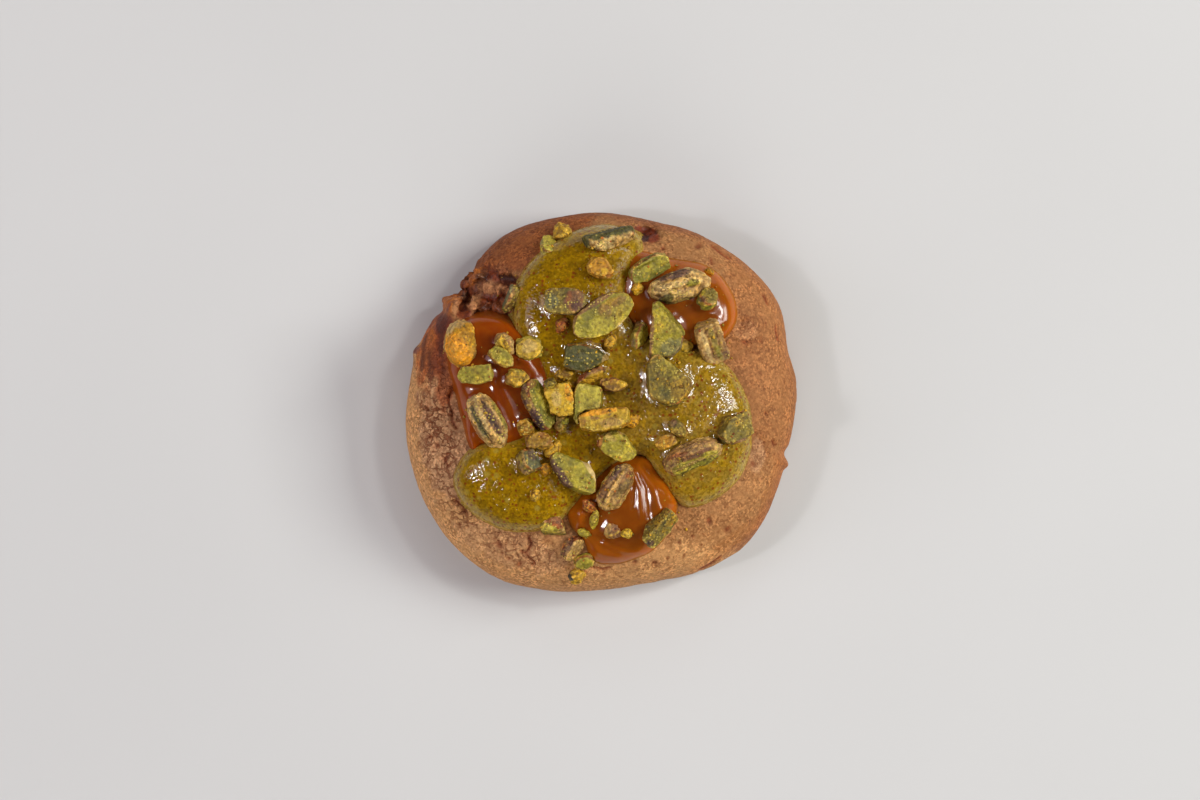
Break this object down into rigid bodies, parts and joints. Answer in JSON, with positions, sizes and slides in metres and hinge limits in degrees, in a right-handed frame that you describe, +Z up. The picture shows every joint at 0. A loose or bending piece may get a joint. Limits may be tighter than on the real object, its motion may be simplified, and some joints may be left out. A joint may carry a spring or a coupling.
{
  "type": "cookie",
  "caption": "Thick round baked cookie, domed on a flat foot, topped with a lobed dollop of pistachio cream, pools of caramel and chopped pistachio kernels.",
  "frame": {"origin": "middle of the footprint, on the flat underside that the cookie rests on", "axes": "+Z up out of the topped side; +Y towards the back, where the upper lobe of cream runs; +X to the right"},
  "size_m": [0.0974, 0.0946, 0.0353],
  "materials": {
    "dough": "matte",
    "cream": "gloss",
    "caramel": "gloss",
    "nut_skin": "matte",
    "nut_green": "matte",
    "nut_olive": "matte",
    "nut_golden": "matte"
  },
  "bodies": {
    "root": {"dough": "dough", "pistachio_cream": "cream", "caramel_left": "caramel", "caramel_back": "caramel", "caramel_front": "caramel", "bit_golden_1": "nut_golden", "bit_golden_10": "nut_golden", "bit_golden_2": "nut_golden", "bit_golden_3": "nut_golden", "bit_golden_4": "nut_golden", "bit_golden_5": "nut_golden", "bit_golden_6": "nut_golden", "bit_golden_7": "nut_golden", "bit_golden_8": "nut_golden", "bit_golden_9": "nut_golden", "bit_green_1": "nut_green", "bit_olive_1": "nut_olive", "bit_olive_2": "nut_olive", "bit_olive_3": "nut_olive", "chip_golden_1": "nut_golden", "chip_golden_2": "nut_golden", "chip_golden_3": "nut_golden", "chip_golden_4": "nut_golden", "chip_golden_5": "nut_golden", "chip_green_1": "nut_green", "chip_green_2": "nut_green", "chip_green_3": "nut_green", "chip_green_4": "nut_green", "chip_olive_1": "nut_olive", "chip_ridged_1": "nut_skin", "chunk_golden_1": "nut_golden", "chunk_golden_2": "nut_golden", "chunk_green_1": "nut_green", "chunk_green_2": "nut_green", "chunk_green_3": "nut_green", "chunk_green_4": "nut_green", "chunk_green_5": "nut_green", "chunk_green_6": "nut_green", "chunk_olive_1": "nut_olive", "chunk_olive_2": "nut_olive", "chunk_olive_3": "nut_olive", "chunk_olive_4": "nut_olive", "chunk_olive_5": "nut_olive", "chunk_olive_6": "nut_olive", "chunk_ridged_1": "nut_skin", "chunk_ridged_2": "nut_skin", "half_golden_1": "nut_golden", "half_ridged_1": "nut_skin", "half_ridged_2": "nut_skin", "half_ridged_3": "nut_skin", "half_ridged_4": "nut_skin", "split_green_1": "nut_green"}
  },
  "joints": []
}
